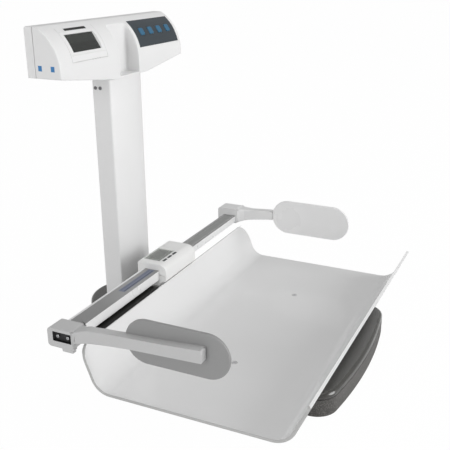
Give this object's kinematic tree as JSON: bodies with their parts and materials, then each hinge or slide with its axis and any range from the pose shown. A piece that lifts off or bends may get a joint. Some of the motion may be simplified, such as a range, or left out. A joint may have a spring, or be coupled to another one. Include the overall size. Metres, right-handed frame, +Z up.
{
  "type": "digital baby weighing scale",
  "caption": "Baby scale: bent tray on a low base, rear column with display and key head, and a length rod with sliding paddle along the tray's back wall.",
  "frame": {"origin": "on the floor, in the middle of the whole scale's footprint", "axes": "+Z up; +Y to the back, towards the column; +X along the tray, towards the sliding paddle's end"},
  "size_m": [0.612, 0.5622, 0.568],
  "materials": {
    "charcoal_plastic": "finely textured",
    "plate_steel": "zinc plated",
    "screw_steel": "bright plated",
    "dark_screws": "blackened",
    "foot_rubber": "matte",
    "cell_aluminium": "machined",
    "tray_plastic": "satin, smooth",
    "column_paint": "satin powder coat",
    "cable_sheath": "matte",
    "head_plastic": "satin",
    "display_lens": "clear, tinted",
    "display_panel": "flat display glass",
    "black_plastic": "satin",
    "circuit_board": "solder mask",
    "keypad_film": "satin film",
    "key_blue": "satin",
    "battery_sleeve": "printed sleeve, bare",
    "mount_paint": "satin black",
    "rod_aluminium": "brushed, anodised",
    "strip_film": "satin film",
    "case_plastic": "satin",
    "rod_lens": "clear, tinted",
    "rod_key_rubber": "matte",
    "bracket_plastic": "satin",
    "paddle_plastic": "satin"
  },
  "bodies": {
    "scale": {"base_housing": "charcoal_plastic", "base_plate": "plate_steel", "base_screws": "screw_steel", "feet": "foot_rubber", "foot_studs": "screw_steel", "load_cell": "cell_aluminium", "cell_spacers": "plate_steel", "cell_screws": "dark_screws", "tray_support": "plate_steel", "tray_pads": "foot_rubber", "tray": "tray_plastic", "tray_screws": "screw_steel", "column": "column_paint", "column_foot": "plate_steel", "column_screws": "dark_screws", "foot_screws": "dark_screws", "signal_cable": "cable_sheath", "head_bracket": "plate_steel", "head_front": "head_plastic", "head_rear": "head_plastic", "head_screws": "screw_steel", "lcd_bezel": "head_plastic", "lcd_window": "display_lens", "lcd_panel": "display_panel", "indicator_strip": "black_plastic", "main_board": "circuit_board", "keypad_panel": "keypad_film", "keypad_board": "circuit_board", "battery_holder": "black_plastic", "batteries": "battery_sleeve", "battery_door": "head_plastic", "power_inlet": "black_plastic", "rod_mount": "mount_paint", "rod_mount_screws": "screw_steel", "rod_outer": "rod_aluminium", "rod_end_plug": "black_plastic", "guide_bush": "black_plastic", "rod_case_lower": "case_plastic", "rod_case_upper": "case_plastic", "rod_window": "rod_lens", "rod_lcd": "display_panel", "rod_board": "circuit_board", "rod_cell": "screw_steel", "near_bracket": "bracket_plastic", "near_paddle": "paddle_plastic", "socket_plate": "black_plastic", "near_screws": "screw_steel"},
    "length_slide": {"rod_inner": "rod_aluminium", "slide_shoe": "black_plastic", "measuring_strip": "strip_film", "far_bracket": "bracket_plastic", "far_paddle": "paddle_plastic", "far_screws": "screw_steel"},
    "head_key_1": {"key_1": "key_blue"},
    "head_key_2": {"key_2": "key_blue"},
    "head_key_3": {"key_3": "key_blue"},
    "head_key_4": {"key_4": "key_blue"},
    "rod_button_1": {"rod_key_1": "rod_key_rubber"},
    "rod_button_2": {"rod_key_2": "rod_key_rubber"},
    "rod_button_3": {"rod_key_3": "rod_key_rubber"}
  },
  "joints": [
    {"name": "length_rod_slide", "type": "slide", "parent": "scale", "child": "length_slide", "axis": [1, 0, 0], "range_m": [-0.21, 0.07]},
    {"name": "head_key_1_press", "type": "slide", "parent": "scale", "child": "head_key_1", "axis": [0, 0.8387, -0.5446], "range_m": [0, 0.0008], "stiffness_N_per_m": 600, "springref_m": -0.0004},
    {"name": "head_key_2_press", "type": "slide", "parent": "scale", "child": "head_key_2", "axis": [0, 0.8387, -0.5446], "range_m": [0, 0.0008], "stiffness_N_per_m": 600, "springref_m": -0.0004},
    {"name": "head_key_3_press", "type": "slide", "parent": "scale", "child": "head_key_3", "axis": [0, 0.8387, -0.5446], "range_m": [0, 0.0008], "stiffness_N_per_m": 600, "springref_m": -0.0004},
    {"name": "head_key_4_press", "type": "slide", "parent": "scale", "child": "head_key_4", "axis": [0, 0.8387, -0.5446], "range_m": [0, 0.0008], "stiffness_N_per_m": 600, "springref_m": -0.0004},
    {"name": "rod_button_1_press", "type": "slide", "parent": "scale", "child": "rod_button_1", "axis": [0, 0, -1], "range_m": [0, 0.0006], "stiffness_N_per_m": 500, "springref_m": -0.0003},
    {"name": "rod_button_2_press", "type": "slide", "parent": "scale", "child": "rod_button_2", "axis": [0, 0, -1], "range_m": [0, 0.0006], "stiffness_N_per_m": 500, "springref_m": -0.0003},
    {"name": "rod_button_3_press", "type": "slide", "parent": "scale", "child": "rod_button_3", "axis": [0, 0, -1], "range_m": [0, 0.0006], "stiffness_N_per_m": 500, "springref_m": -0.0003}
  ]
}
